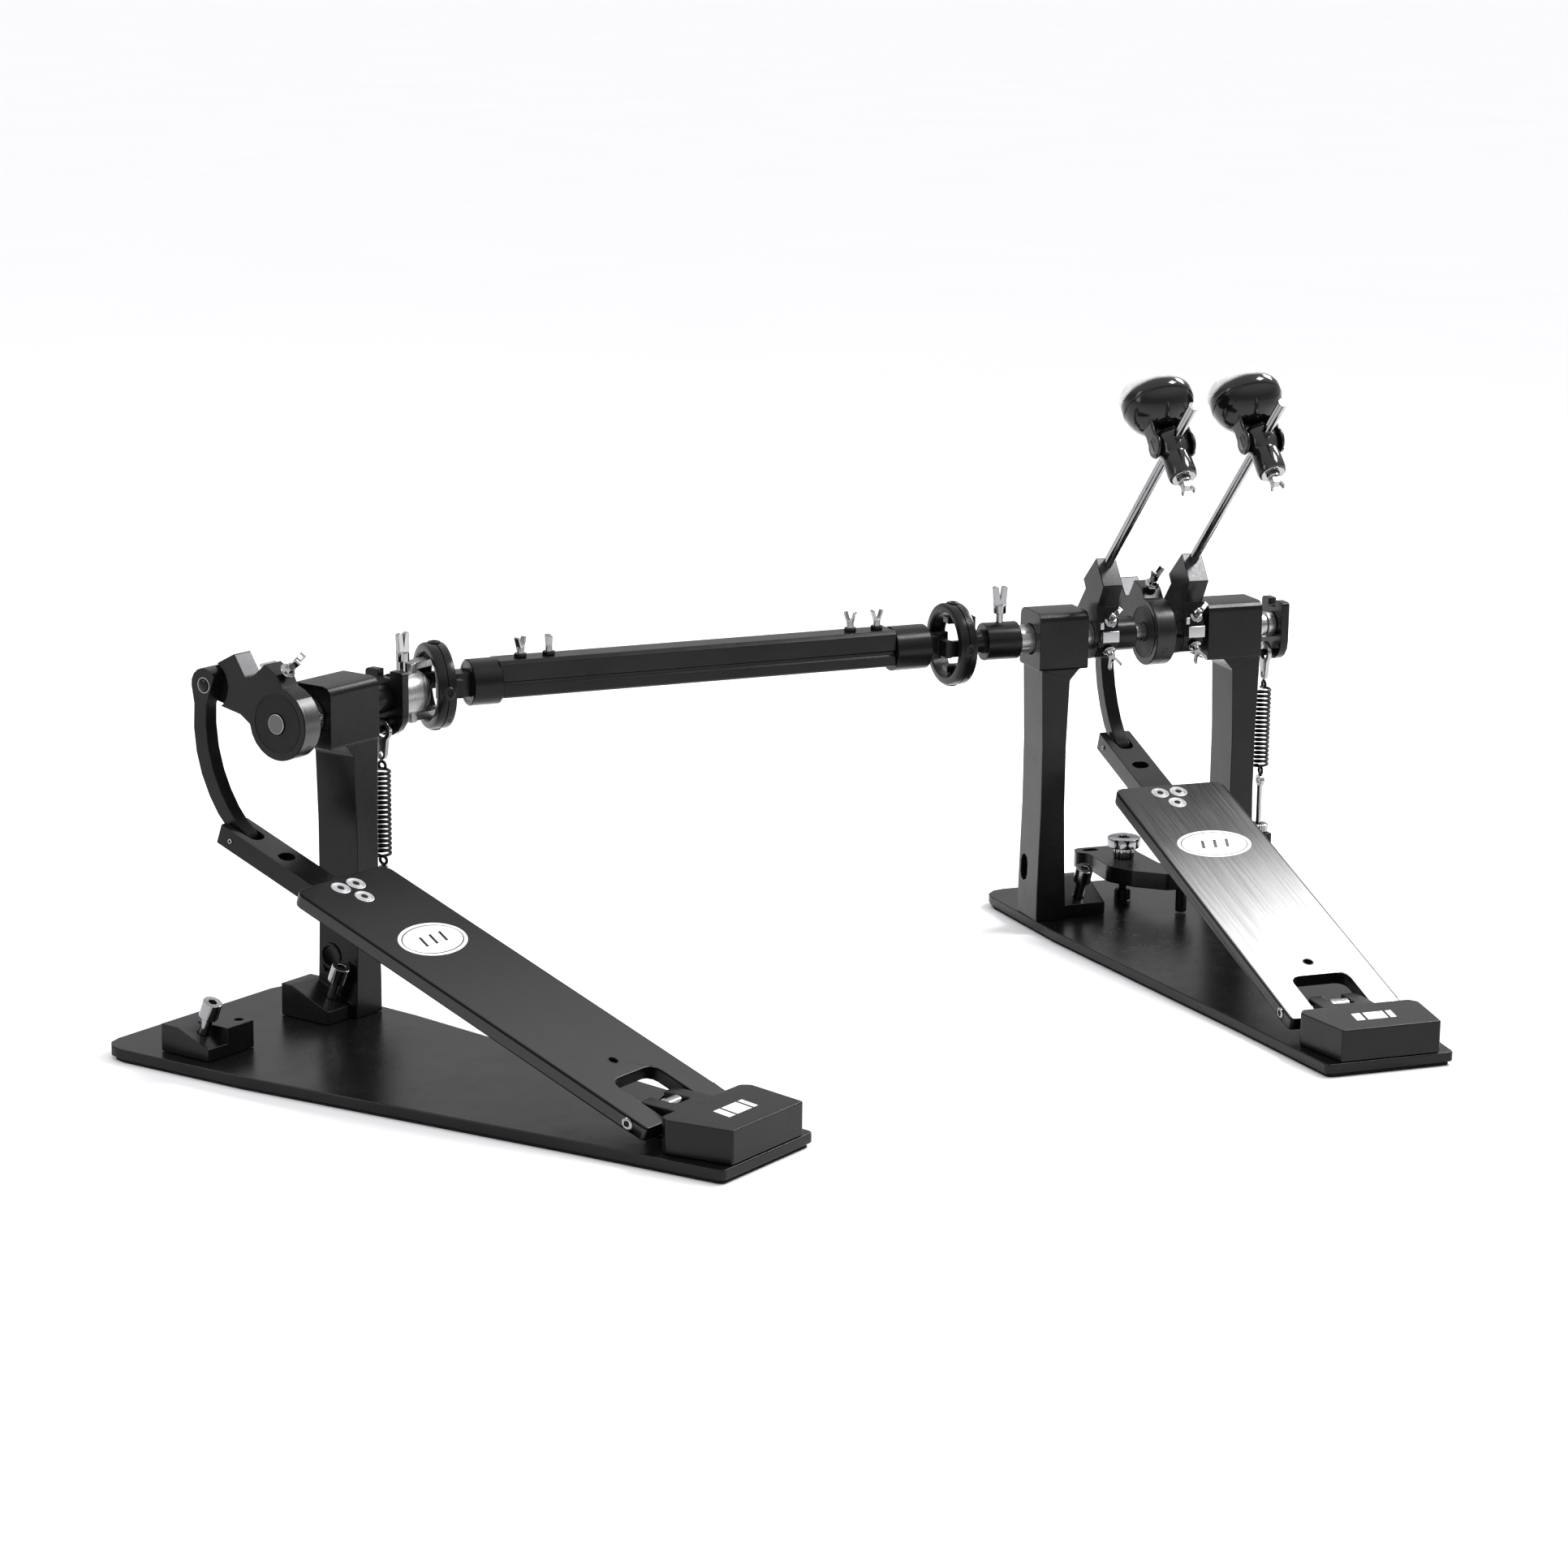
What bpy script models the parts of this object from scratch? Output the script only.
"""Double bass drum pedal: a right-hand pedal with two beaters, a left-hand pedal and the drive shaft between.

Frame: +X to the player's right along the right-hand pedal's axle, +Y towards the drum, +Z up. The origin is on
the floor under that axle, on the centre line of its footboard. The left-hand pedal has the same layout in a
frame of its own, turned on the floor. Lengths are millimetres times MM.
"""

import math

import bmesh
import bpy
from mathutils import Matrix, Vector

MM = 0.001
GAP = 0.3 * MM
SIDES = 20

# Both pedals
AXLE_H = 210 * MM
AXLE_R = 6.5 * MM
HUB_THICK = 15 * MM
HUB_X = HUB_THICK / 2
HINGE = Vector((0, -309 * MM, 22 * MM))
BOARD_WIDTH = 83 * MM
BOARD_LENGTH = 276 * MM
BOARD_THICK = 9 * MM
BAR_END = 368 * MM
BAR_PIN_U = 357 * MM
BAR_PIN_W = -11.3 * MM
BAR_WIDTH = 24 * MM
BAR_THICK = 13 * MM
ARM_R = 60 * MM
LINK_THICK = 10 * MM
PLATE_BOTTOM = 2.5 * MM
PLATE_TOP = 9 * MM
STAND_Z = PLATE_TOP + GAP
POST_DEPTH = 33.4 * MM
HOUSING_BOTTOM = 190 * MM
HOUSING_TOP = 230.5 * MM
HOUSING_DEPTH = 36 * MM
ROCKER_X = 103.5 * MM
SPRING_X = 95.5 * MM
SPRING_Y = -2 * MM
HOOK_PIN = Vector((0, SPRING_Y, AXLE_H - 20 * MM))
SPRING_TOP = 166 * MM
SPRING_BOTTOM = 104 * MM
PIN_R = 3 * MM

# Right-hand (primary) pedal
BOARD_TILT_PRIMARY = math.radians(17.6)
ARM_ANGLE_PRIMARY = math.radians(5.075)
POST_OUT_PRIMARY = 84.2 * MM
POST_IN_PRIMARY = 62.9 * MM

# Left-hand (secondary) pedal
SECONDARY_PLACE = Vector((-647 * MM, -113.5 * MM, 0))
SECONDARY_TURN = math.radians(34.39)
BOARD_TILT_SECONDARY = math.radians(19.8)
ARM_ANGLE_SECONDARY = math.radians(17.5)
POST_OUT_SECONDARY = 75.7 * MM
POST_IN_SECONDARY = 52.7 * MM

# Drive shaft: a universal joint at each end
JOINT_X_SECONDARY = 150 * MM
JOINT_X_PRIMARY = -146 * MM
RING_R = 28.5 * MM
RING_BORE = 22.5 * MM
RING_THICK = 13 * MM
FORK_OUT = 19.5 * MM
FORK_IN = 14.8 * MM
STUB_SIDE = 16 * MM
SLEEVE_R = 10.5 * MM

# Beaters
ROD_R = 3.5 * MM
ROD_LEAN = math.radians(45)
ROD_OFFSET = 29 * MM
ROD_LOW = -12 * MM
ROD_HIGH = 225 * MM
COLLAR_AT = 182 * MM
BEATER_X_LEFT = -34.5 * MM
BEATER_X_RIGHT = 31.5 * MM
HEAD_R = 24.5 * MM

# Spur bolts (X, Y at SPUR_Z) and the hoop clamp
SPUR_Z = 30 * MM
SPUR_LEAN = math.radians(22)
SPUR_R = 3.6 * MM
SPUR_PRIMARY = (-46 * MM, -7 * MM)
SPUR_REAR = (45 * MM, -4 * MM)
SPUR_FRONT = (-62.5 * MM, 6 * MM)
STUD = (1 * MM, 23 * MM)
CLAMP_FOOT = (25 * MM, -24 * MM)
CLAMP_LOW = 28 * MM
CLAMP_HIGH = 40 * MM

PARTS = None
CUTTERS = None
PIVOTS = {}


# ---------------------------------------------------------------- helpers

def clear_scene():
    for obj in list(bpy.data.objects):
        bpy.data.objects.remove(obj)


def new_collection(name):
    made = bpy.data.collections.new(name)
    bpy.context.scene.collection.children.link(made)
    return made


def material(name, colour, roughness, metallic):
    found = bpy.data.materials.get(name)
    if found:
        return found
    made = bpy.data.materials.new(name)
    made.use_nodes = True
    shader = made.node_tree.nodes["Principled BSDF"]
    shader.inputs["Base Color"].default_value = (*colour, 1)
    shader.inputs["Roughness"].default_value = roughness
    shader.inputs["Metallic"].default_value = metallic
    return made


def black_metal():
    return material("black_anodised", (0.02, 0.02, 0.022), 0.38, 0.85)


def satin_metal():
    return material("satin_board", (0.2, 0.2, 0.21), 0.32, 0.95)


def chrome():
    return material("chrome", (0.8, 0.8, 0.82), 0.12, 1.0)


def steel():
    return material("bright_steel", (0.55, 0.55, 0.57), 0.25, 1.0)


def black_plastic():
    return material("black_plastic", (0.012, 0.012, 0.013), 0.25, 0.0)


def rubber():
    return material("rubber", (0.03, 0.03, 0.03), 0.8, 0.0)


def felt():
    return material("felt", (0.72, 0.71, 0.68), 0.95, 0.0)


def spring_steel():
    return material("spring_steel", (0.08, 0.08, 0.085), 0.3, 1.0)


def frame_at(place, turn):
    return Matrix.Translation(place) @ Matrix.Rotation(turn, 4, "Z")


def pivot(name, frame, at):
    """An empty on a joint's axis; the pieces of a moving body are parented to it."""
    empty = bpy.data.objects.new(name, None)
    PARTS.objects.link(empty)
    empty.matrix_world = frame @ Matrix.Translation(at)
    PIVOTS[name] = frame @ Matrix.Translation(at)
    return empty


def add_part(name, mesh, frame, parent, look):
    """Wraps a mesh drawn in a pedal's frame as a named part that hangs from its pivot."""
    obj = bpy.data.objects.new(name, mesh)
    PARTS.objects.link(obj)
    obj.parent = parent
    obj.matrix_parent_inverse = PIVOTS[parent.name].inverted() @ frame
    mesh.materials.clear()
    mesh.materials.append(look)
    return obj


def hide_tool(obj):
    obj.hide_render = True
    obj.display_type = "WIRE"


def add_tool(name, mesh, frame):
    obj = bpy.data.objects.new(name, mesh)
    CUTTERS.objects.link(obj)
    obj.matrix_world = frame
    hide_tool(obj)
    return obj


def boolean(target, tool, operation):
    modifier = target.modifiers.new(operation.lower() + "_" + tool.name, "BOOLEAN")
    modifier.operation = operation
    modifier.solver = "EXACT"
    modifier.object = tool


def cut(target, mesh, frame):
    boolean(target, add_tool(target.name + "_cut", mesh, frame), "DIFFERENCE")


def join(target, mesh, frame):
    boolean(target, add_tool(target.name + "_add", mesh, frame), "UNION")


def smooth(obj, angle=35):
    obj.data.shade_smooth()
    obj.data.set_sharp_from_angle(angle=math.radians(angle))


def mesh_from(build):
    work = bmesh.new()
    build(work)
    mesh = bpy.data.meshes.new("mesh")
    work.to_mesh(mesh)
    work.free()
    return mesh


def box(low, high):
    """A box between two corners."""
    low, high = Vector(low), Vector(high)
    size = high - low
    place = Matrix.Translation((low + high) / 2) @ Matrix.Diagonal((*size, 1))
    return mesh_from(lambda work: bmesh.ops.create_cube(work, size=1, matrix=place))


def along(start, end):
    """The matrix that puts local Z on the line from start to end, centred between them."""
    start, end = Vector(start), Vector(end)
    turn = (end - start).to_track_quat("Z", "Y").to_matrix().to_4x4()
    return Matrix.Translation((start + end) / 2) @ turn, (end - start).length


def cylinder(start, end, radius, end_radius=None, sides=SIDES):
    place, length = along(start, end)
    top = radius if end_radius is None else end_radius
    return mesh_from(lambda work: bmesh.ops.create_cone(
        work, cap_ends=True, segments=sides, radius1=radius, radius2=top, depth=length, matrix=place))


def circle(centre, radius, count=SIDES, start=0.0):
    cx, cy = centre
    steps = [start + 2 * math.pi * i / count for i in range(count)]
    return [(cx + radius * math.cos(a), cy + radius * math.sin(a)) for a in steps]


def arc(centre, radius, first, last, count):
    """Points on an arc, angles in degrees."""
    steps = [math.radians(first + (last - first) * i / count) for i in range(count + 1)]
    return [(centre[0] + radius * math.cos(a), centre[1] + radius * math.sin(a)) for a in steps]


def rounded(corners, count=3):
    """A closed outline with each corner (x, y, radius) rounded."""
    points = []
    total = len(corners)
    for i, (x, y, radius) in enumerate(corners):
        here = Vector((x, y))
        before = Vector(corners[i - 1][:2]) - here
        after = Vector(corners[(i + 1) % total][:2]) - here
        if radius <= 0:
            points.append((x, y))
            continue
        before.normalize()
        after.normalize()
        half = before.angle(after) / 2
        reach = radius / math.tan(half)
        middle = here + (before + after).normalized() * radius / math.sin(half)
        first = here + before * reach - middle
        last = here + after * reach - middle
        sweep = first.angle_signed(last)
        for k in range(count + 1):
            spoke = first.copy()
            spoke.rotate(Matrix.Rotation(-sweep * k / count, 2))
            points.append(tuple(middle + spoke))
    return points


def plate(loops, thick, side, centre):
    """Extrudes a flat outline, with any further loops as holes.

    side is the axis that the plate is thick along; the loops hold the other two coordinates in the order
    Y, Z for X, X, Z for Y and X, Y for Z. centre is the middle of the thickness.
    """
    curve = bpy.data.curves.new("outline", "CURVE")
    curve.dimensions = "2D"
    curve.fill_mode = "BOTH"
    curve.extrude = thick / 2
    for loop in loops:
        spline = curve.splines.new("POLY")
        spline.points.add(len(loop) - 1)
        for point, (x, y) in zip(spline.points, loop):
            point.co = (x, y, 0, 1)
        spline.use_cyclic_u = True
    flat = bpy.data.objects.new("outline", curve)
    bpy.context.scene.collection.objects.link(flat)
    ready = flat.evaluated_get(bpy.context.evaluated_depsgraph_get())
    mesh = bpy.data.meshes.new_from_object(ready)
    bpy.data.objects.remove(flat)
    axes = {"X": ((0, 0, 1), (1, 0, 0), (0, 1, 0)),
            "Y": ((1, 0, 0), (0, 0, -1), (0, 1, 0)),
            "Z": ((1, 0, 0), (0, 1, 0), (0, 0, 1))}[side]
    shift = {"X": (centre, 0, 0), "Y": (0, centre, 0), "Z": (0, 0, centre)}[side]
    mesh.transform(Matrix.Translation(shift) @ Matrix(axes).to_4x4())
    weld(mesh)
    return mesh


def weld(mesh):
    work = bmesh.new()
    work.from_mesh(mesh)
    bmesh.ops.remove_doubles(work, verts=work.verts, dist=0.00001)
    bmesh.ops.recalc_face_normals(work, faces=work.faces)
    work.to_mesh(mesh)
    work.free()


def wire(points, radius):
    """A round wire through the points, with closed ends, as a mesh."""
    curve = bpy.data.curves.new("wire", "CURVE")
    curve.dimensions = "3D"
    curve.bevel_depth = radius
    curve.bevel_resolution = 1
    curve.use_fill_caps = True
    spline = curve.splines.new("POLY")
    spline.points.add(len(points) - 1)
    for point, co in zip(spline.points, points):
        point.co = (*co, 1)
    line = bpy.data.objects.new("wire", curve)
    bpy.context.scene.collection.objects.link(line)
    mesh = bpy.data.meshes.new_from_object(line.evaluated_get(bpy.context.evaluated_depsgraph_get()))
    bpy.data.objects.remove(line)
    weld(mesh)
    return mesh


def turned(profile, sides=SIDES):
    """A turned solid about Z from (radius, height) points that start and end on the axis."""
    work = bmesh.new()
    verts = [work.verts.new((radius, 0, height)) for radius, height in profile]
    edges = [work.edges.new(pair) for pair in zip(verts, verts[1:])]
    bmesh.ops.spin(work, geom=verts + edges, axis=(0, 0, 1), cent=(0, 0, 0), angle=2 * math.pi,
                   steps=sides, use_merge=True)
    bmesh.ops.remove_doubles(work, verts=work.verts, dist=0.00001)
    bmesh.ops.recalc_face_normals(work, faces=work.faces)
    mesh = bpy.data.meshes.new("turned")
    work.to_mesh(mesh)
    work.free()
    return mesh


def moved(mesh, matrix):
    mesh.transform(matrix)
    return mesh


# ---------------------------------------------------------------- pieces that both pedals have

def base_outline(inset):
    """Half-widths grow from the heel to the front; both front corners are round."""
    edge = 1 * MM + inset
    right = [(45 * MM - inset, -382 * MM + edge, 4 * MM),
             (55 * MM - inset, -276 * MM, 0),
             (82 * MM - inset, -40 * MM, 0),
             (88 * MM - inset, 76 * MM - inset, 17 * MM)]
    left = [(-x, y, r) for x, y, r in reversed(right)]
    return rounded(right + left)


def base(side, frame, root):
    mat = plate([base_outline(2 * MM)], PLATE_BOTTOM - GAP, "Z", (PLATE_BOTTOM - GAP) / 2)
    add_part(side + "_rubber_mat", mat, frame, root, rubber())
    thick = PLATE_TOP - PLATE_BOTTOM
    sheet = plate([base_outline(0)], thick, "Z", PLATE_BOTTOM + thick / 2)
    add_part(side + "_base_plate", sheet, frame, root, black_metal())


def heel_block(side, frame, root):
    """The heel rest, with the slotted tongue that holds the footboard's hinge pin."""
    top = 30.3 * MM
    front, heel = -331.5 * MM, -380.3 * MM
    outline = rounded([(-34.8 * MM, heel, 1.5 * MM), (34.8 * MM, heel, 1.5 * MM),
                       (42.2 * MM, front - 6 * MM, 4 * MM), (38 * MM, front, 3 * MM),
                       (-38 * MM, front, 3 * MM), (-42.2 * MM, front - 6 * MM, 4 * MM)])
    block = add_part(side + "_heel_block", plate([outline], top - STAND_Z, "Z", (top + STAND_Z) / 2),
                     frame, root, black_metal())
    nose = -298.5 * MM
    low = 17 * MM
    tongue = rounded([(-19 * MM, front - 4 * MM, 0), (19 * MM, front - 4 * MM, 0),
                      (18 * MM, nose, 5 * MM), (-18 * MM, nose, 5 * MM)])
    join(block, plate([tongue], 27.5 * MM - low, "Z", (27.5 * MM + low) / 2), frame)
    foot = box((-19 * MM, front - 4 * MM, STAND_Z), (19 * MM, nose - 6 * MM, low + 1 * MM))
    join(block, foot, frame)
    slot = rounded([(-7 * MM, nose + 8 * MM, 0), (-7 * MM, -319 * MM, 3 * MM),
                    (7 * MM, -319 * MM, 3 * MM), (7 * MM, nose + 8 * MM, 0)])
    cut(block, plate([slot], 40 * MM, "Z", 29 * MM + STAND_Z), frame)
    reach = Vector((BOARD_WIDTH, 0, 0))
    cut(block, cylinder(HINGE - reach, HINGE + reach, PIN_R + GAP, sides=16), frame)


def hinge_pin(side, frame, root):
    reach = Vector((BOARD_WIDTH / 2 - 0.2 * MM, 0, 0))
    pin = add_part(side + "_hinge_pin", cylinder(HINGE - reach, HINGE + reach, PIN_R, sides=16),
                   frame, root, steel())
    smooth(pin)


def board_frame(frame, tilt):
    """Local Y along the board from its hinge, local Z out of its top."""
    return frame @ Matrix.Translation(HINGE) @ Matrix.Rotation(tilt, 4, "X")


def footboard(side, frame, tilt, body):
    """A flat board whose two heel legs straddle the heel block's tongue."""
    tilted = board_frame(frame, tilt)
    half = BOARD_WIDTH / 2
    inner = 20.5 * MM
    heel = -14 * MM
    opening = 32 * MM
    outline = rounded([(-half, heel, 3 * MM), (-inner, heel, 0), (-inner, opening, 7 * MM),
                       (inner, opening, 7 * MM), (inner, heel, 0), (half, heel, 3 * MM),
                       (half, BOARD_LENGTH, 7 * MM), (-half, BOARD_LENGTH, 7 * MM)])
    pilot = circle((0, opening + 15 * MM), 3 * MM, 12)
    board = add_part(side + "_footboard", plate([outline, pilot], BOARD_THICK, "Z", 0), tilted, body,
                     satin_metal() if side == "primary" else black_metal())
    reach = Vector((BOARD_WIDTH, 0, 0))
    cut(board, cylinder(-reach, reach, PIN_R + GAP, sides=16), tilted)


def extension_bar(side, frame, tilt, body):
    """The bar under the board, with a fork at its end and the pin that the drive link turns on."""
    tilted = board_frame(frame, tilt)
    top = -BOARD_THICK / 2 - GAP
    half = BAR_WIDTH / 2
    start = BOARD_LENGTH - 66 * MM
    fork = LINK_THICK / 2 + 1 * MM
    floor = BAR_PIN_U - 14 * MM
    outline = rounded([(-half, start, 2 * MM), (half, start, 2 * MM), (half, BAR_END, 1.5 * MM),
                       (fork, BAR_END, 0), (fork, floor, 5 * MM), (-fork, floor, 5 * MM),
                       (-fork, BAR_END, 0), (-half, BAR_END, 1.5 * MM)])
    slot = rounded([(-6 * MM, 315.5 * MM, 4 * MM), (6 * MM, 315.5 * MM, 4 * MM),
                    (6 * MM, 324.5 * MM, 4 * MM), (-6 * MM, 324.5 * MM, 4 * MM)], 2)
    bar = add_part(side + "_extension_bar", plate([outline, slot], BAR_THICK, "Z", top - BAR_THICK / 2),
                   tilted, body, black_metal())
    reach = Vector((half - 0.5 * MM, 0, 0))
    middle = Vector((0, BAR_PIN_U, BAR_PIN_W))
    pin = cylinder(middle - reach, middle + reach, PIN_R, sides=12)
    join(bar, pin, tilted)


def bar_pin_point(tilt):
    turn = Matrix.Rotation(tilt, 4, "X")
    point = turn @ Vector((0, BAR_PIN_U, BAR_PIN_W)) + HINGE
    return (point.y, point.z)


def arm_point(angle):
    return (ARM_R * math.cos(angle), AXLE_H + ARM_R * math.sin(angle))


def drive_link(side, frame, tilt, arm_angle, body):
    """The bowed link from the hub's arm down to the extension bar."""
    top, bottom = Vector(arm_point(arm_angle)), Vector(bar_pin_point(tilt))
    down = (bottom - top).normalized()
    out = Vector((-down.y, down.x))
    length = (bottom - top).length
    eye_top, eye_bottom = 11 * MM, 8.9 * MM
    width = 11 * MM
    bow = 14 * MM

    def at(along_link, across):
        return tuple(top + down * along_link + out * across)

    def bowed(share, shift):
        """A point on the bow: share runs from the top eye to the bottom eye."""
        rise = bow * math.sin(math.pi * min(1, share * 1.07)) ** 0.7
        return at(length * share, rise + shift)

    outer = [bowed(s, width / 2) for s in (0.1, 0.25, 0.4, 0.55, 0.7, 0.82, 0.92)]
    inner = [bowed(s, -width / 2) for s in (0.9, 0.8, 0.68, 0.55, 0.4, 0.25, 0.13)]
    heading = math.degrees(math.atan2(down.y, down.x))
    lower = arc(bottom, eye_bottom, heading + 60, heading - 100, 8)
    upper = arc(top, eye_top, heading - 110, heading - 260, 7)
    outline = outer + lower + inner + upper
    hole = circle(bottom, PIN_R + 2.9 * MM, 16)
    link = add_part(side + "_drive_link", plate([outline, hole], LINK_THICK, "X", 0),
                    frame, body, black_metal())
    join(link, cylinder((0, *top), (HUB_THICK - 0.5 * MM, *top), PIN_R, sides=12), frame)


def drive_hub(side, frame, arm_angle, body):
    """A hub clamped on the axle; the tip of its arm is halved so that the link's eye lies beside it."""
    lean = math.degrees(arm_angle)

    def polar(radius, angle):
        a = math.radians(angle + lean)
        return (radius * math.cos(a), AXLE_H + radius * math.sin(a))

    boss = arm_point(arm_angle)
    outline = (arc(boss, 11 * MM, lean - 95, lean + 75, 7)
               + [polar(53.5 * MM, 31), polar(37 * MM, 27), polar(34 * MM, 33), polar(38 * MM, 58),
                  polar(31 * MM, 74)]
               + arc((0, AXLE_H), 23.5 * MM, lean + 85, lean + 335, 16)
               + [polar(31 * MM, -14)])
    bore = circle((0, AXLE_H), AXLE_R + GAP)
    hub = add_part(side + "_drive_hub", plate([outline, bore], HUB_THICK, "X", HUB_X), frame, body,
                   black_metal())
    cut(hub, cylinder((-1 * MM, *boss), (LINK_THICK / 2 + GAP, *boss), 16 * MM, sides=24), frame)
    cut(hub, cylinder((0, *boss), (2 * HUB_THICK, *boss), PIN_R + GAP, sides=12), frame)


def axle(side, frame, first, last, body):
    rod = add_part(side + "_axle", cylinder((first, 0, AXLE_H), (last, 0, AXLE_H), AXLE_R), frame, body,
                   steel())
    smooth(rod)


def post(name, frame, outer, inner, housing, bore, lug, root):
    """A column under a bearing housing; outer and inner are X, and inner faces the board."""
    way = 1 if outer > inner else -1
    waist = 1.6 * MM
    top = HOUSING_BOTTOM + 5 * MM
    corners = [(inner - way * 1.5 * MM, STAND_Z, 0), (outer, STAND_Z, 0), (outer, 30 * MM, 0),
               (outer - way * waist, 90 * MM, 0), (outer - way * waist, 135 * MM, 0),
               (outer, HOUSING_BOTTOM, 0), (outer, top, 0), (inner - way * 8 * MM, top, 0),
               (inner - way * 8 * MM, HOUSING_BOTTOM + 1 * MM, 0), (inner, HOUSING_BOTTOM - 8 * MM, 4 * MM),
               (inner + way * waist, 135 * MM, 0), (inner + way * waist, 90 * MM, 0), (inner, 40 * MM, 0)]
    if way < 0:
        corners.reverse()
    column = add_part(name, plate([rounded(corners)], POST_DEPTH, "Y", 0), frame, root, black_metal())
    half = HOUSING_DEPTH / 2
    profile = rounded([(-half, HOUSING_BOTTOM, 2 * MM), (half, HOUSING_BOTTOM, 2 * MM),
                       (half, HOUSING_TOP, 6.5 * MM), (-half, HOUSING_TOP, 6.5 * MM)])
    first, last = housing
    join(column, plate([profile], last - first, "X", (first + last) / 2), frame)
    reach = 120 * MM
    cut(column, cylinder((-reach, 0, AXLE_H), (reach, 0, AXLE_H), bore, sides=24), frame)
    hole = rounded([(2 * MM, 34 * MM, 5.5 * MM), (13 * MM, 34 * MM, 5.5 * MM),
                    (13 * MM, 53 * MM, 5.5 * MM), (2 * MM, 53 * MM, 5.5 * MM)], 2)
    cut(column, plate([hole], 2 * reach, "X", 0), frame)
    if lug:
        ear = box((outer - 4 * MM, SPRING_Y - 8 * MM, 47 * MM),
                  (SPRING_X + 7 * MM, SPRING_Y + 8 * MM, 58 * MM))
        join(column, ear, frame)
        bolt = Vector((SPRING_X, SPRING_Y, 0))
        cut(column, cylinder(bolt, bolt + Vector((0, 0, 80 * MM)), 2.4 * MM, sides=12), frame)
    return column


def spur_foot(column, frame, near, far):
    """The foot beside a post: its top slopes down to the heel side, square to the spur bolt it takes."""
    heel, ridge, drum = -12 * MM, 19 * MM, 28 * MM
    low = 18 * MM
    high = low + (ridge - heel) * math.tan(SPUR_LEAN)
    outline = [(heel, STAND_Z), (drum, STAND_Z), (drum, high), (ridge, high), (heel, low)]
    join(column, plate([outline], abs(far - near), "X", (near + far) / 2), frame)


def slanted(spur, low, high):
    """Two points on a spur bolt's axis: its foot is nearer the drum than its head."""
    x, y = spur
    slope = math.tan(SPUR_LEAN)
    return (Vector((x, y - (low - SPUR_Z) * slope, low)),
            Vector((x, y - (high - SPUR_Z) * slope, high)))


def spur_bolt(name, frame, spur, body):
    """A bolt with a socket head, screwed down at a slant."""
    low, shoulder = slanted(spur, 14 * MM, 35 * MM)
    shank = add_part(name, cylinder(low, shoulder, SPUR_R, sides=12), frame, body, chrome())
    join(shank, cylinder(*slanted(spur, 34 * MM, 44.5 * MM), 6.2 * MM, sides=12), frame)
    cut(shank, cylinder(*slanted(spur, 39.5 * MM, 46.5 * MM), 3 * MM, sides=6), frame)


def spur_hole(column, frame, spur):
    cut(column, cylinder(*slanted(spur, 12.5 * MM, 50 * MM), SPUR_R + GAP, sides=12), frame)


def rocker(side, frame, body):
    """The D-shaped spring rocker on the axle's end, with the pin that the spring's hook hangs from."""
    width, top, bottom = 16 * MM, AXLE_H + 18 * MM, AXLE_H - 25 * MM
    outline = rounded([(-width, bottom, 15 * MM), (width, bottom, 15 * MM), (width, top, 2.5 * MM),
                       (5 * MM, top, 0), (5 * MM, top - 5 * MM, 0), (-5 * MM, top - 5 * MM, 0),
                       (-5 * MM, top, 0), (-width, top, 2.5 * MM)], 4)
    bore = circle((0, AXLE_H), AXLE_R + GAP)
    disc = add_part(side + "_spring_rocker", plate([outline, bore], 6 * MM, "X", ROCKER_X), frame, body,
                    black_metal())
    start = Vector((SPRING_X - 4 * MM, HOOK_PIN.y, HOOK_PIN.z))
    end = Vector((ROCKER_X, HOOK_PIN.y, HOOK_PIN.z))
    join(disc, cylinder(start, end, 2.5 * MM, sides=12), frame)


def spring_hook(side, frame, body):
    """A flat eye on the rocker's pin, drawn out into a tang with the spring's hole in it."""
    eye = (HOOK_PIN.y, HOOK_PIN.z)
    hole = (HOOK_PIN.y, SPRING_TOP + 8 * MM)
    outline = (arc(eye, 8 * MM, -50, 230, 12) + [(eye[0] - 4 * MM, hole[1])]
               + arc(hole, 4 * MM, 190, 350, 4) + [(eye[0] + 4 * MM, hole[1])])
    loops = [outline, circle(eye, 5 * MM, 14), circle(hole, 2 * MM, 8)]
    add_part(side + "_spring_hook", plate(loops, 3 * MM, "X", SPRING_X), frame, body, chrome())


def spring(side, frame, root):
    """A close-wound extension spring, with straight ends through the hook and the eye bolt."""
    coil_r, wire_r, turns, steps = 5 * MM, 0.9 * MM, 12, 9
    centre = Vector((SPRING_X, SPRING_Y, 0))
    points = [centre + Vector((0, 0, SPRING_TOP + 2.5 * MM))]
    for i in range(turns * steps + 1):
        angle = 2 * math.pi * i / steps
        height = SPRING_TOP - 1 * MM + (SPRING_BOTTOM - SPRING_TOP + 2 * MM) * i / (turns * steps)
        points.append(centre + Vector((coil_r * math.cos(angle), coil_r * math.sin(angle), height)))
    points.append(centre + Vector((0, 0, SPRING_BOTTOM - 2.5 * MM)))
    coil = add_part(side + "_spring", wire(points, wire_r), frame, root, spring_steel())
    smooth(coil, 60)


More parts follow.
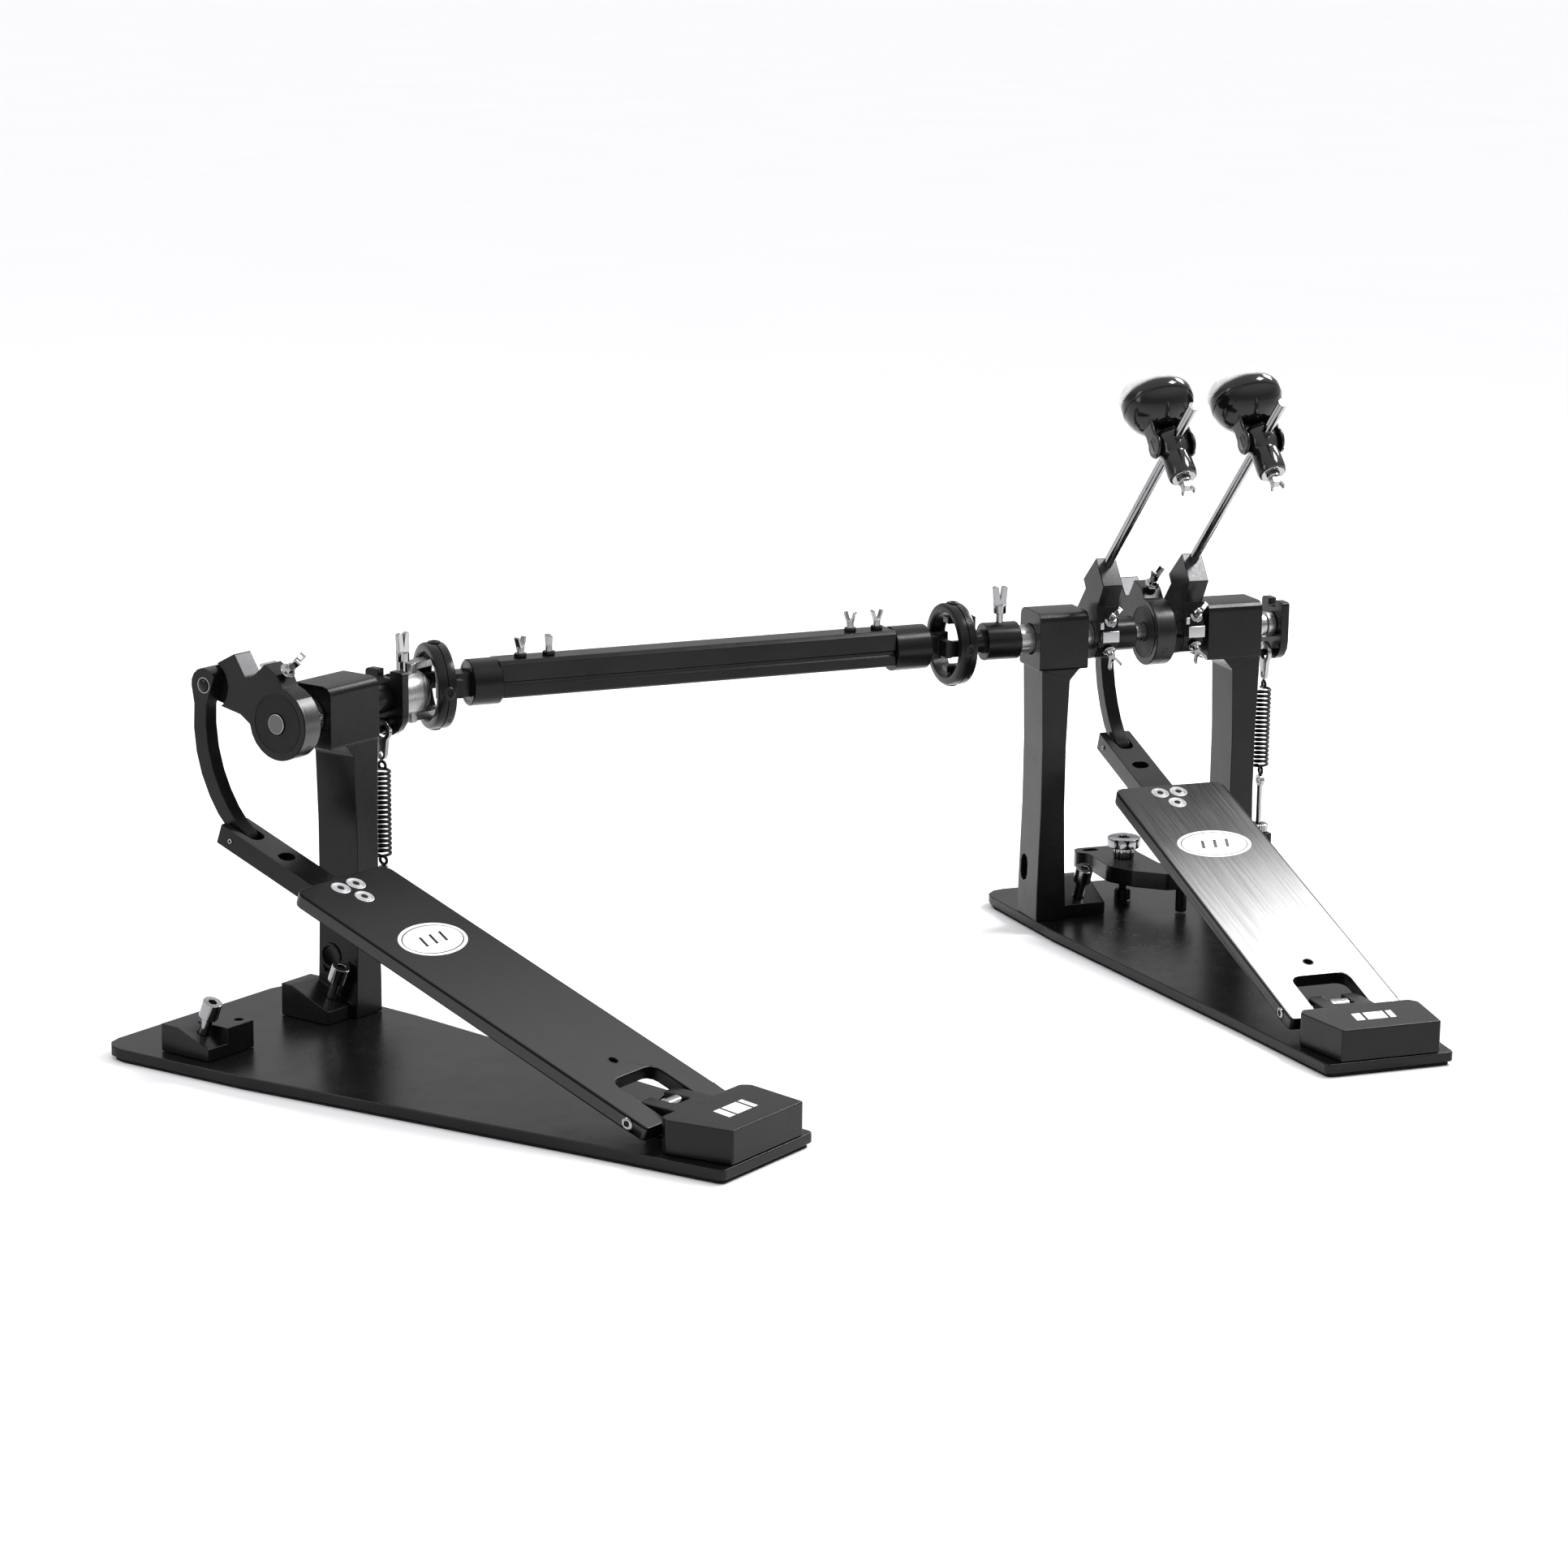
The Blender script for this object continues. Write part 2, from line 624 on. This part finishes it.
def tension_screw(side, frame, root, nut_body):
    """The eye bolt that holds the spring's foot, and its thumb nut on the lug."""
    place = Vector((SPRING_X, SPRING_Y, 0))
    eye_z = SPRING_BOTTOM - 8 * MM
    ring = plate([circle((SPRING_Y, eye_z), 4.5 * MM, 14), circle((SPRING_Y, eye_z), 2 * MM, 8)],
                 3.2 * MM, "X", SPRING_X)
    bolt = add_part(side + "_eye_bolt", ring, frame, root, chrome())
    join(bolt, cylinder(place + Vector((0, 0, 42 * MM)), place + Vector((0, 0, eye_z - 3.4 * MM)),
                        2 * MM, sides=12), frame)
    nut = plate([circle((SPRING_X, SPRING_Y), 7 * MM, 20), circle((SPRING_X, SPRING_Y), 2.3 * MM, 12)],
                6 * MM, "Z", 58 * MM + GAP + 3 * MM)
    smooth(add_part(side + "_tension_nut", nut, frame, nut_body, chrome()))


# ---------------------------------------------------------------- beaters

def beater_point(x, along_rod, ahead):
    """A point by its distance up the rod and its distance ahead of the rod's axis."""
    rise = Vector((0, -math.sin(ROD_LEAN), math.cos(ROD_LEAN)))
    face = Vector((0, math.cos(ROD_LEAN), math.sin(ROD_LEAN)))
    return Vector((x, 0, AXLE_H)) + rise * along_rod + face * (ROD_OFFSET + ahead)


def beater_matrix(x, along_rod):
    """Local Z points ahead, at right angles to the rod; local Y points down it."""
    turn = Matrix.Rotation(ROD_LEAN - math.pi / 2, 4, "X")
    return Matrix.Translation(beater_point(x, along_rod, 0)) @ turn


def beater_hub(side, frame, x, bore, body):
    """A faceted block that clamps the axle or its sleeve below and the beater's rod above."""
    points = [(-8, 56), (12, 38), (8, 32), (24, 13), (19, -5), (11, -13), (0, -17), (-10, -14),
              (-16.5, -6), (-17, 8), (-13, 22), (-22, 38)]
    outline = [(y * MM, AXLE_H + z * MM) for y, z in points]
    hub = add_part(side + "_beater_hub", plate([outline, circle((0, AXLE_H), bore)], 15 * MM, "X", x),
                   frame, body, black_metal())
    cut(hub, cylinder(beater_point(x, -60 * MM, 0), beater_point(x, 90 * MM, 0), ROD_R + GAP, sides=16),
        frame)


def beater(side, frame, x, rod_body, head_body, screw_body):
    rod = add_part(side + "_beater_rod", cylinder(beater_point(x, ROD_LOW, 0), beater_point(x, ROD_HIGH, 0),
                                                  ROD_R, sides=16), frame, rod_body, chrome())
    smooth(rod)
    collar(side, frame, x, rod_body)
    beater_head(side, frame, x, head_body)
    collar_screw(side, frame, x, screw_body)


def collar(side, frame, x, body):
    """The round collar on the rod, with a tapped neck behind it."""
    place = beater_matrix(x, COLLAR_AT)
    ball = turned([(0, -27 * MM), (9 * MM, -27 * MM), (9 * MM, -9 * MM), (12.5 * MM, -6 * MM),
                   (13.5 * MM, 0), (11.5 * MM, 7 * MM), (7 * MM, 11.4 * MM), (0, 12.6 * MM)])
    knob = add_part(side + "_beater_collar", moved(ball, place), frame, body, black_plastic())
    cut(knob, box((x + 11 * MM, -300 * MM, 200 * MM), (x + 30 * MM, 100 * MM, 500 * MM)), frame)
    cut(knob, box((x - 30 * MM, -300 * MM, 200 * MM), (x - 11 * MM, 100 * MM, 500 * MM)), frame)
    cut(knob, cylinder(beater_point(x, COLLAR_AT - 40 * MM, 0), beater_point(x, COLLAR_AT + 40 * MM, 0),
                       ROD_R + GAP, sides=16), frame)
    cut(knob, cylinder(beater_point(x, COLLAR_AT, -40 * MM), beater_point(x, COLLAR_AT, -16 * MM),
                       4.3 * MM, sides=12), frame)
    smooth(knob)


def beater_head(side, frame, x, body):
    """A domed shell whose two cheeks turn on the collar's sides, and the felt disc it carries."""
    place = beater_matrix(x, COLLAR_AT)
    shell = turned([(0, 14 * MM), (9 * MM, 14 * MM), (13 * MM, 17 * MM), (20 * MM, 22 * MM),
                    (HEAD_R - 0.6 * MM, 30 * MM), (HEAD_R, 33 * MM), (HEAD_R, 39 * MM), (0, 39 * MM)], 24)
    head = add_part(side + "_beater_head", moved(shell, place), frame, body, black_plastic())
    for way in (-1, 1):
        first, last = way * 11.3 * MM, way * 14.2 * MM
        pad = cylinder((first, 0, 0), (last, 0, 0), 8.5 * MM, sides=16)
        arm = box((min(first, last), -6 * MM, 0), (max(first, last), 6 * MM, 24 * MM))
        join(head, moved(pad, place), frame)
        join(head, moved(arm, place), frame)
    cushion = turned([(0, 39.3 * MM), (HEAD_R - 1 * MM, 39.3 * MM), (HEAD_R - 0.5 * MM, 43 * MM),
                      (HEAD_R - 4 * MM, 48 * MM), (12 * MM, 50.5 * MM), (0, 51 * MM)], 24)
    smooth(add_part(side + "_beater_felt", moved(cushion, place), frame, body, felt()))


def collar_screw(side, frame, x, body):
    """The wing screw in the collar's neck."""
    place = beater_matrix(x, COLLAR_AT)
    shank = cylinder((0, 0, -35 * MM), (0, 0, -17 * MM), 4 * MM, sides=12)
    screw = add_part(side + "_collar_screw", moved(shank, place), frame, body, chrome())
    wings = plate([rounded([(-7 * MM, -34 * MM, 1 * MM), (7 * MM, -34 * MM, 1 * MM),
                            (8 * MM, -40 * MM, 1.5 * MM), (3 * MM, -40 * MM, 1 * MM),
                            (0, -36 * MM, 0), (-3 * MM, -40 * MM, 1 * MM),
                            (-8 * MM, -40 * MM, 1.5 * MM)], 2)], 3 * MM, "X", 0)
    join(screw, moved(wings, place), frame)


# ---------------------------------------------------------------- hoop clamp

def hoop_clamp(frame, plate_body, knob_body):
    """The clamp plate with its rear foot screw, and the knob that presses it down on the drum's hoop."""
    thick = CLAMP_HIGH - CLAMP_LOW
    outline = rounded([(-24 * MM, 58 * MM, 7 * MM), (-25.5 * MM, 46 * MM, 4 * MM),
                       (-18.5 * MM, 40 * MM, 6 * MM), (-20 * MM, 4 * MM, 14 * MM),
                       (-9 * MM, -15 * MM, 8 * MM), (10 * MM, -31 * MM, 6 * MM),
                       (33 * MM, -33 * MM, 6 * MM), (35 * MM, -17 * MM, 6 * MM),
                       (19 * MM, -1 * MM, 10 * MM), (18 * MM, 36 * MM, 8 * MM),
                       (22 * MM, 58 * MM, 7 * MM)])
    slot = rounded([(-19 * MM, 47 * MM, 3 * MM), (-7 * MM, 47 * MM, 3 * MM),
                    (-7 * MM, 53.5 * MM, 3 * MM), (-19 * MM, 53.5 * MM, 3 * MM)], 2)
    jaw = add_part("hoop_clamp_plate",
                   plate([outline, slot, circle(STUD, 6.4 * MM, 16)], thick, "Z", CLAMP_LOW + thick / 2),
                   frame, plate_body, black_metal())
    foot = Vector((*CLAMP_FOOT, 0))
    join(jaw, cylinder(foot + Vector((0, 0, STAND_Z + 0.7 * MM)), foot + Vector((0, 0, CLAMP_LOW + 3 * MM)),
                       4 * MM, sides=12), frame)
    knob = add_part("hoop_clamp_knob",
                    plate([circle(STUD, 12.3 * MM, 24), circle(STUD, 4.5 * MM, 12)], 7 * MM, "Z", 52 * MM),
                    frame, knob_body, chrome())
    neck = plate([circle(STUD, 7.5 * MM, 20), circle(STUD, 4.5 * MM, 12)], 9 * MM, "Z",
                 CLAMP_HIGH + GAP + 4.5 * MM)
    join(knob, neck, frame)


def clamp_stud(plate_obj, frame):
    """The threaded stud stands in the base plate, so it is one piece with it."""
    for radius, top, sides in ((3 * MM, 53 * MM, 12), (6 * MM, 17 * MM, 16)):
        join(plate_obj, cylinder((*STUD, 5 * MM), (*STUD, top), radius, sides=sides), frame)


# ---------------------------------------------------------------- drive shaft

def coupling(side, frame, start, end, radius, bore, shaft_end, ring_x, fork_x, body, look):
    """A clamp sleeve on a pedal's axle, with the fork that carries the universal joint's ring."""
    way = 1 if end > start else -1
    sleeve = add_part(side + "_coupling", cylinder((start, 0, AXLE_H), (end, 0, AXLE_H), radius, sides=24),
                      frame, body, look)
    neck = cylinder((end - way * 2 * MM, 0, AXLE_H), (fork_x - way * 3 * MM, 0, AXLE_H), 8.5 * MM)
    join(sleeve, neck, frame)
    low, high = sorted((fork_x, fork_x - way * 5 * MM))
    join(sleeve, box((low, -6.5 * MM, AXLE_H - FORK_OUT), (high, 6.5 * MM, AXLE_H + FORK_OUT)), frame)
    low, high = sorted((fork_x - way * 1 * MM, ring_x + way * 5 * MM))
    for up in (-1, 1):
        first, last = sorted((AXLE_H + up * FORK_IN, AXLE_H + up * FORK_OUT))
        join(sleeve, box((low, -4.5 * MM, first), (high, 4.5 * MM, last)), frame)
    hole = cylinder((ring_x, 0, AXLE_H - 30 * MM), (ring_x, 0, AXLE_H + 30 * MM), 2.5 * MM + GAP, sides=12)
    cut(sleeve, hole, frame)
    shaft = cylinder((start - way * 1 * MM, 0, AXLE_H), (shaft_end + way * GAP, 0, AXLE_H), bore)
    cut(sleeve, shaft, frame)
    key_x = (start + end) / 2
    cut(sleeve, cylinder((key_x, 0, AXLE_H + radius - 4 * MM), (key_x, 0, AXLE_H + 40 * MM), 2.8 * MM,
                         sides=12), frame)
    return sleeve


def wing_key(side, frame, x, radius, body):
    """The tall wing key that tightens a coupling."""
    start = AXLE_H + radius - 2.7 * MM
    shank = cylinder((x, 0, start), (x, 0, start + 12 * MM), 2.5 * MM, sides=12)
    key = add_part(side + "_coupling_key", shank, frame, body, chrome())
    top = start + 9 * MM
    join(key, cylinder((x, 0, top), (x, 0, top + 6 * MM), 4.5 * MM, sides=12), frame)
    blade = rounded([(x - 4 * MM, top + 4 * MM, 0), (x + 4 * MM, top + 4 * MM, 0),
                     (x + 5.5 * MM, top + 19 * MM, 1 * MM), (x + 1.5 * MM, top + 19 * MM, 1 * MM),
                     (x, top + 10 * MM, 0), (x - 1.5 * MM, top + 19 * MM, 1 * MM),
                     (x - 5.5 * MM, top + 19 * MM, 1 * MM)], 1)
    join(key, plate([blade], 3 * MM, "Y", 0), frame)


def joint_ring(side, frame, at, body):
    """The universal joint's ring, with four pivot pins pointing in: two upright, two level."""
    middle = (0, AXLE_H)
    ring = add_part(side + "_joint_ring",
                    plate([circle(middle, RING_R, 32), circle(middle, RING_BORE, 32)], RING_THICK, "X", at),
                    frame, body, black_metal())
    inner, outer = FORK_IN - 0.5 * MM, RING_BORE + 2 * MM
    for direction in (Vector((0, 0, 1)), Vector((0, 0, -1)), Vector((0, 1, 0)), Vector((0, -1, 0))):
        centre = Vector((at, 0, AXLE_H))
        join(ring, cylinder(centre + direction * inner, centre + direction * outer, 2.5 * MM, sides=12),
             frame)


def shaft_fork(name, frame, at, way, end, body):
    """A square bar whose fork holds the ring's level pins with room to spare."""
    low, high = sorted((at + way * 12 * MM, end))
    half = STUB_SIDE / 2
    bar = add_part(name, box((low, -half, AXLE_H - half), (high, half, AXLE_H + half)), frame, body,
                   black_metal())
    low, high = sorted((at + way * 9.5 * MM, at + way * 14 * MM))
    join(bar, box((low, -FORK_OUT, AXLE_H - 6 * MM), (high, FORK_OUT, AXLE_H + 6 * MM)), frame)
    low, high = sorted((at - way * 4.5 * MM, at + way * 11 * MM))
    for across in (-1, 1):
        first, last = sorted((across * FORK_IN, across * FORK_OUT))
        join(bar, box((low, first, AXLE_H - 5.5 * MM), (high, last, AXLE_H + 5.5 * MM)), frame)
    hole = cylinder((at, -30 * MM, AXLE_H), (at, 30 * MM, AXLE_H), 3.4 * MM, sides=16)
    cut(bar, hole, frame)
    return bar


def drive_tube(frame, length, body):
    """The telescoping tube: a square bore in a ridged profile, with a round collar at its left end."""
    start, end = 42 * MM, length - 48.5 * MM
    bore = STUB_SIDE / 2 + 0.4 * MM
    half, low, high = 11.5 * MM, AXLE_H - 10.5 * MM, AXLE_H + 14.5 * MM
    outline = [(-half, low), (half, low), (half, AXLE_H - 3 * MM), (half - 1 * MM, AXLE_H - 2 * MM),
               (half - 1 * MM, AXLE_H), (half, AXLE_H + 1 * MM), (half, high), (-half, high),
               (-half, AXLE_H + 1 * MM), (-half + 1 * MM, AXLE_H), (-half + 1 * MM, AXLE_H - 2 * MM),
               (-half, AXLE_H - 3 * MM)]
    square = [(-bore, AXLE_H - bore), (bore, AXLE_H - bore), (bore, AXLE_H + bore), (-bore, AXLE_H + bore)]
    tube = add_part("drive_tube", plate([outline, square], end - start, "X", (start + end) / 2), frame, body,
                    black_metal())
    collar_loops = [circle((0, AXLE_H), 15.5 * MM, 24), square]
    join(tube, plate(collar_loops, 21 * MM, "X", start - 9.5 * MM), frame)


# ---------------------------------------------------------------- assemblies

def pedal(side, frame, tilt, arm_angle, root):
    """The pieces that both pedals share, with the pivots of their moving bodies."""
    board_pivot = pivot(side + "_board_pivot", frame, HINGE)
    link_pivot = pivot(side + "_link_pivot", frame, (0, *arm_point(arm_angle)))
    axle_pivot = pivot(side + "_axle_pivot", frame, (0, 0, AXLE_H))
    hook_pivot = pivot(side + "_hook_pivot", frame, (SPRING_X, HOOK_PIN.y, HOOK_PIN.z))
    nut_pivot = pivot(side + "_nut_pivot", frame, (SPRING_X, SPRING_Y, 58 * MM))
    base(side, frame, root)
    heel_block(side, frame, root)
    hinge_pin(side, frame, root)
    footboard(side, frame, tilt, board_pivot)
    extension_bar(side, frame, tilt, board_pivot)
    drive_link(side, frame, tilt, arm_angle, link_pivot)
    drive_hub(side, frame, arm_angle, axle_pivot)
    rocker(side, frame, axle_pivot)
    spring_hook(side, frame, hook_pivot)
    spring(side, frame, root)
    tension_screw(side, frame, root, nut_pivot)
    return axle_pivot


def primary_pedal(frame):
    root = pivot("primary_root", frame, (0, 0, 0))
    axle_pivot = pedal("primary", frame, BOARD_TILT_PRIMARY, ARM_ANGLE_PRIMARY, root)
    clamp_stud(bpy.data.objects["primary_base_plate"], frame)
    left_post = post("primary_left_post", frame, -POST_OUT_PRIMARY, -POST_IN_PRIMARY, (-86.8 * MM, -50 * MM),
                     SLEEVE_R + 0.1 * MM + GAP, False, root)
    spur_foot(left_post, frame, -POST_IN_PRIMARY - 4 * MM, -29 * MM)
    spur_hole(left_post, frame, SPUR_PRIMARY)
    spur_bolt("primary_spur_bolt", frame, SPUR_PRIMARY,
              pivot("primary_spur_pivot", frame, slanted(SPUR_PRIMARY, SPUR_Z, 40 * MM)[0]))
    post("primary_right_post", frame, POST_OUT_PRIMARY, POST_IN_PRIMARY, (42.3 * MM, POST_OUT_PRIMARY),
         AXLE_R + GAP, True, root)
    axle("primary", frame, -94 * MM, ROCKER_X + 5 * MM, axle_pivot)
    beater_hub("right", frame, BEATER_X_RIGHT, AXLE_R + GAP, axle_pivot)
    clamp_pivot = pivot("clamp_pivot", frame, (*CLAMP_FOOT, 10 * MM))
    knob_pivot = pivot("knob_pivot", frame, (*STUD, CLAMP_HIGH))
    hoop_clamp(frame, clamp_pivot, knob_pivot)
    sleeve_pivot = pivot("sleeve_pivot", frame, (-60 * MM, 0, AXLE_H))
    left_beater_drive(frame, sleeve_pivot)
    for side, x in (("left", BEATER_X_LEFT), ("right", BEATER_X_RIGHT)):
        rod_pivot = pivot(side + "_rod_pivot", frame, beater_point(x, 0, 0))
        head_pivot = pivot(side + "_head_pivot", frame, beater_point(x, COLLAR_AT, 0))
        screw_pivot = pivot(side + "_collar_screw_pivot", frame, beater_point(x, COLLAR_AT, -30 * MM))
        beater(side, frame, x, rod_pivot, head_pivot, screw_pivot)


def left_beater_drive(frame, body):
    """The sleeve that turns on the axle and carries the left beater and the drive shaft's coupling."""
    loops = [circle((0, AXLE_H), SLEEVE_R, 6, math.pi / 6), circle((0, AXLE_H), AXLE_R + GAP, 20)]
    hexagon = plate(loops, 9 * MM, "X", -91.7 * MM)
    sleeve = add_part("left_beater_sleeve", hexagon, frame, body, steel())
    ring = [circle((0, AXLE_H), SLEEVE_R - 0.6 * MM, 24), circle((0, AXLE_H), AXLE_R + GAP, 20)]
    join(sleeve, plate(ring, 102 * MM, "X", -68 * MM), frame)
    beater_hub("left", frame, BEATER_X_LEFT, SLEEVE_R - 0.6 * MM + GAP, body)
    coupling("primary", frame, -98 * MM, -123 * MM, 13.2 * MM, SLEEVE_R - 0.6 * MM + GAP, -119 * MM,
             JOINT_X_PRIMARY, JOINT_X_PRIMARY + 10 * MM, body, black_metal())
    key_x = -110.5 * MM
    wing_key("primary", frame, key_x, 13.2 * MM, pivot("primary_key_pivot", frame, (key_x, 0, AXLE_H)))


def secondary_pedal(frame):
    root = pivot("secondary_root", frame, (0, 0, 0))
    axle_pivot = pedal("secondary", frame, BOARD_TILT_SECONDARY, ARM_ANGLE_SECONDARY, root)
    column = post("secondary_post", frame, POST_OUT_SECONDARY, POST_IN_SECONDARY,
                  (30 * MM, POST_OUT_SECONDARY), AXLE_R + GAP, True, root)
    spur_foot(column, frame, POST_IN_SECONDARY + 4 * MM, 29 * MM)
    spur_hole(column, frame, SPUR_REAR)
    spur_bolt("secondary_rear_spur_bolt", frame, SPUR_REAR,
              pivot("secondary_rear_spur_pivot", frame, slanted(SPUR_REAR, SPUR_Z, 40 * MM)[0]))
    spur_hole(spur_block(frame, root), frame, SPUR_FRONT)
    spur_bolt("secondary_front_spur_bolt", frame, SPUR_FRONT,
              pivot("secondary_front_spur_pivot", frame, slanted(SPUR_FRONT, SPUR_Z, 40 * MM)[0]))
    axle("secondary", frame, -1 * MM, 122 * MM, axle_pivot)
    coupling("secondary", frame, 108 * MM, 130 * MM, 14.5 * MM, AXLE_R + GAP, 122 * MM, JOINT_X_SECONDARY,
             125 * MM, axle_pivot, steel())
    key_x = 119 * MM
    wing_key("secondary", frame, key_x, 14.5 * MM, pivot("secondary_key_pivot", frame, (key_x, 0, AXLE_H)))


def spur_block(frame, root):
    """The block at the front of the left-hand pedal's base: a flat top, and a foot beside it for the bolt."""
    near, step, far = -33 * MM, -56.5 * MM, -74 * MM
    heel, drum, top = -6 * MM, 34 * MM, 27 * MM
    flat = [(heel, STAND_Z), (drum, STAND_Z), (drum, top), (heel, top)]
    foot = [(heel, STAND_Z), (drum, STAND_Z), (drum, top), (20 * MM, top), (heel, 17 * MM)]
    block = add_part("secondary_spur_block", plate([flat], near - step, "X", (near + step) / 2), frame, root,
                     black_metal())
    join(block, plate([foot], step - far + MM, "X", (step + MM + far) / 2), frame)
    cut(block, cylinder((near - 5 * MM, 2 * MM, 12 * MM), (near - 5 * MM, 2 * MM, 40 * MM), 3 * MM, sides=12),
        frame)
    return block


def drive_shaft(secondary_frame):
    """The shaft's frame starts at the left universal joint, with +X towards the right one."""
    start = secondary_frame @ Vector((JOINT_X_SECONDARY, 0, 0))
    run = Vector((JOINT_X_PRIMARY, 0, 0)) - start
    frame = frame_at(start, math.atan2(run.y, run.x))
    length = run.length
    joint_ring("secondary", frame, 0, pivot("secondary_ring_pivot", frame, (0, 0, AXLE_H)))
    joint_ring("primary", frame, length, pivot("primary_ring_pivot", frame, (length, 0, AXLE_H)))
    inner_pivot = pivot("inner_shaft_pivot", frame, (0, 0, AXLE_H))
    tube_pivot = pivot("drive_tube_pivot", frame, (length, 0, AXLE_H))
    shaft_fork("inner_shaft", frame, 0, 1, 190 * MM, inner_pivot)
    drive_tube(frame, length, tube_pivot)
    fork = shaft_fork("tube_fork", frame, length, -1, length - 110 * MM, tube_pivot)
    join(fork, cylinder((length - 22 * MM, 0, AXLE_H), (length - 48 * MM, 0, AXLE_H), 15.5 * MM, sides=24),
         frame)


def build():
    global PARTS, CUTTERS
    clear_scene()
    PARTS = new_collection("bass_drum_pedal")
    CUTTERS = new_collection("cutters")
    secondary_frame = frame_at(SECONDARY_PLACE, SECONDARY_TURN)
    primary_pedal(Matrix.Identity(4))
    secondary_pedal(secondary_frame)
    drive_shaft(secondary_frame)


build()
